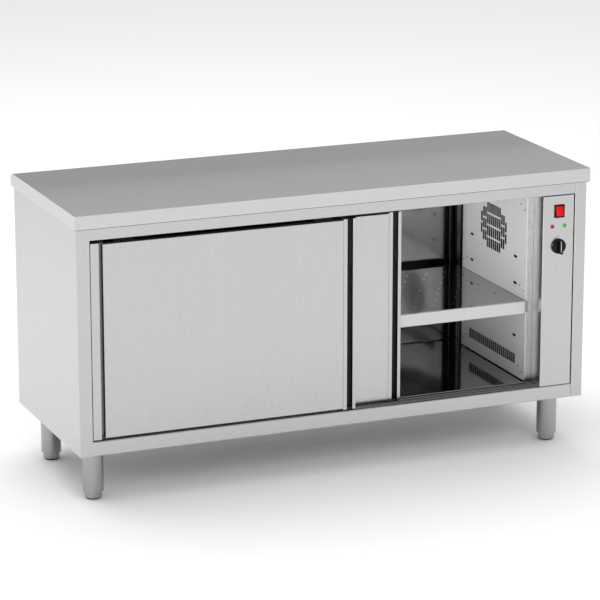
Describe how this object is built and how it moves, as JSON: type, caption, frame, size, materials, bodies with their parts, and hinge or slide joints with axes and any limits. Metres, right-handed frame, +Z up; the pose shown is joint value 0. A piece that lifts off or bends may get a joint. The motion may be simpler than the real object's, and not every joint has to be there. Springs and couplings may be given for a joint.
{
  "type": "food holding cabinet",
  "caption": "Heated stainless food holding cabinet on legs, with sliding doors, a perforated shelf and a fan and control column at the right.",
  "frame": {"origin": "middle of the overall footprint, on the floor plane that the feet stand on", "axes": "+X towards the control column along the front, +Y to the back, +Z up; the doors and controls face -Y"},
  "size_m": [1.6, 0.61, 0.85],
  "materials": {
    "stainless_sheet": "satin",
    "galvanised_sheet": "satin",
    "insulation": "matte",
    "white_nylon": "satin",
    "leg_tube": "polished",
    "foot_metal": "satin",
    "fan_metal": "satin",
    "motor_case": "satin",
    "element_sheath": "satin",
    "black_plastic": "satin",
    "red_rocker": "gloss",
    "red_lens": "gloss",
    "green_lens": "gloss"
  },
  "bodies": {
    "casing": {"worktop": "stainless_sheet", "left_side_panel": "stainless_sheet", "right_side_panel": "stainless_sheet", "top_rail": "stainless_sheet", "bottom_rail": "stainless_sheet", "back_panel": "stainless_sheet", "bottom_pan": "stainless_sheet", "cavity_floor": "stainless_sheet", "cavity_ceiling": "stainless_sheet", "cavity_left_wall": "stainless_sheet", "cavity_back_wall": "stainless_sheet", "duct_cover": "stainless_sheet", "column_wall": "stainless_sheet", "control_panel": "stainless_sheet", "lower_door_track": "stainless_sheet", "shelf": "stainless_sheet", "shelf_clip_front_left": "stainless_sheet", "shelf_clip_front_right": "stainless_sheet", "shelf_clip_rear_left": "stainless_sheet", "shelf_clip_rear_right": "stainless_sheet", "top_stiffener_front": "galvanised_sheet", "top_stiffener_rear": "galvanised_sheet", "upper_door_track": "galvanised_sheet", "fan_housing": "galvanised_sheet", "ceiling_insulation": "insulation", "left_insulation": "insulation", "floor_insulation": "insulation", "terminal_block": "white_nylon", "leg_front_left": "leg_tube", "leg_front_right": "leg_tube", "leg_rear_left": "leg_tube", "leg_rear_right": "leg_tube", "fan_motor": "motor_case", "thermostat_body": "motor_case", "heating_element": "element_sheath", "thermostat_sensor": "element_sheath", "power_switch_frame": "black_plastic", "cable_gland": "black_plastic", "wiring_loom": "black_plastic", "red_lamp": "red_lens", "green_lamp": "green_lens"},
    "left_door": {"left_door_outer_skin": "stainless_sheet", "left_door_inner_skin": "stainless_sheet", "left_door_hanger_left": "galvanised_sheet", "left_door_hanger_right": "galvanised_sheet"},
    "right_door": {"right_door_outer_skin": "stainless_sheet", "right_door_inner_skin": "stainless_sheet", "right_door_hanger_left": "galvanised_sheet", "right_door_hanger_right": "galvanised_sheet"},
    "left_door_roller_left": {"left_door_roller_left": "white_nylon"},
    "left_door_roller_right": {"left_door_roller_right": "white_nylon"},
    "right_door_roller_left": {"right_door_roller_left": "white_nylon"},
    "right_door_roller_right": {"right_door_roller_right": "white_nylon"},
    "fan_rotor": {"fan_impeller": "fan_metal"},
    "knob": {"thermostat_knob": "black_plastic"},
    "rocker": {"power_switch_rocker": "red_rocker"},
    "foot_front_left": {"foot_front_left": "foot_metal"},
    "foot_front_right": {"foot_front_right": "foot_metal"},
    "foot_rear_left": {"foot_rear_left": "foot_metal"},
    "foot_rear_right": {"foot_rear_right": "foot_metal"}
  },
  "joints": [
    {"name": "left_door_slide", "type": "slide", "parent": "casing", "child": "left_door", "axis": [1, 0, 0], "range_m": [0, 0.595]},
    {"name": "right_door_slide", "type": "slide", "parent": "casing", "child": "right_door", "axis": [1, 0, 0], "range_m": [-0.155, 0.44]},
    {"name": "left_door_roller_left_spin", "type": "hinge", "parent": "left_door", "child": "left_door_roller_left", "pos_m": [-0.653, -0.2735, 0.7888], "axis": [0, 1, 0], "range_deg": [0, 3420]},
    {"name": "left_door_roller_right_spin", "type": "hinge", "parent": "left_door", "child": "left_door_roller_right", "pos_m": [-0.045, -0.2735, 0.7888], "axis": [0, 1, 0], "range_deg": [0, 3420]},
    {"name": "right_door_roller_left_spin", "type": "hinge", "parent": "right_door", "child": "right_door_roller_left", "pos_m": [-0.498, -0.2465, 0.7888], "axis": [0, 1, 0], "range_deg": [-900, 2530]},
    {"name": "right_door_roller_right_spin", "type": "hinge", "parent": "right_door", "child": "right_door_roller_right", "pos_m": [0.11, -0.2465, 0.7888], "axis": [0, 1, 0], "range_deg": [-900, 2530]},
    {"name": "fan_spin", "type": "hinge", "parent": "casing", "child": "fan_rotor", "pos_m": [0.67, -0.001, 0.618], "axis": [1, 0, 0], "continuous": true},
    {"name": "knob_turn", "type": "hinge", "parent": "casing", "child": "knob", "pos_m": [0.704, -0.285, 0.619], "axis": [0, 1, 0], "range_deg": [0, 270]},
    {"name": "rocker_tilt", "type": "hinge", "parent": "casing", "child": "rocker", "pos_m": [0.705, -0.285, 0.7255], "axis": [1, 0, 0], "range_deg": [0, 19.4]},
    {"name": "foot_front_left_screw", "type": "slide", "parent": "casing", "child": "foot_front_left", "axis": [0, 0, -1], "range_m": [-0.015, 0.025]},
    {"name": "foot_front_right_screw", "type": "slide", "parent": "casing", "child": "foot_front_right", "axis": [0, 0, -1], "range_m": [-0.015, 0.025]},
    {"name": "foot_rear_left_screw", "type": "slide", "parent": "casing", "child": "foot_rear_left", "axis": [0, 0, -1], "range_m": [-0.015, 0.025]},
    {"name": "foot_rear_right_screw", "type": "slide", "parent": "casing", "child": "foot_rear_right", "axis": [0, 0, -1], "range_m": [-0.015, 0.025]}
  ],
  "couplings": [
    {"joint": "left_door_roller_left_spin", "follows": "left_door_slide", "rad_per_m": 100},
    {"joint": "left_door_roller_right_spin", "follows": "left_door_slide", "rad_per_m": 100},
    {"joint": "right_door_roller_left_spin", "follows": "right_door_slide", "rad_per_m": 100},
    {"joint": "right_door_roller_right_spin", "follows": "right_door_slide", "rad_per_m": 100}
  ]
}
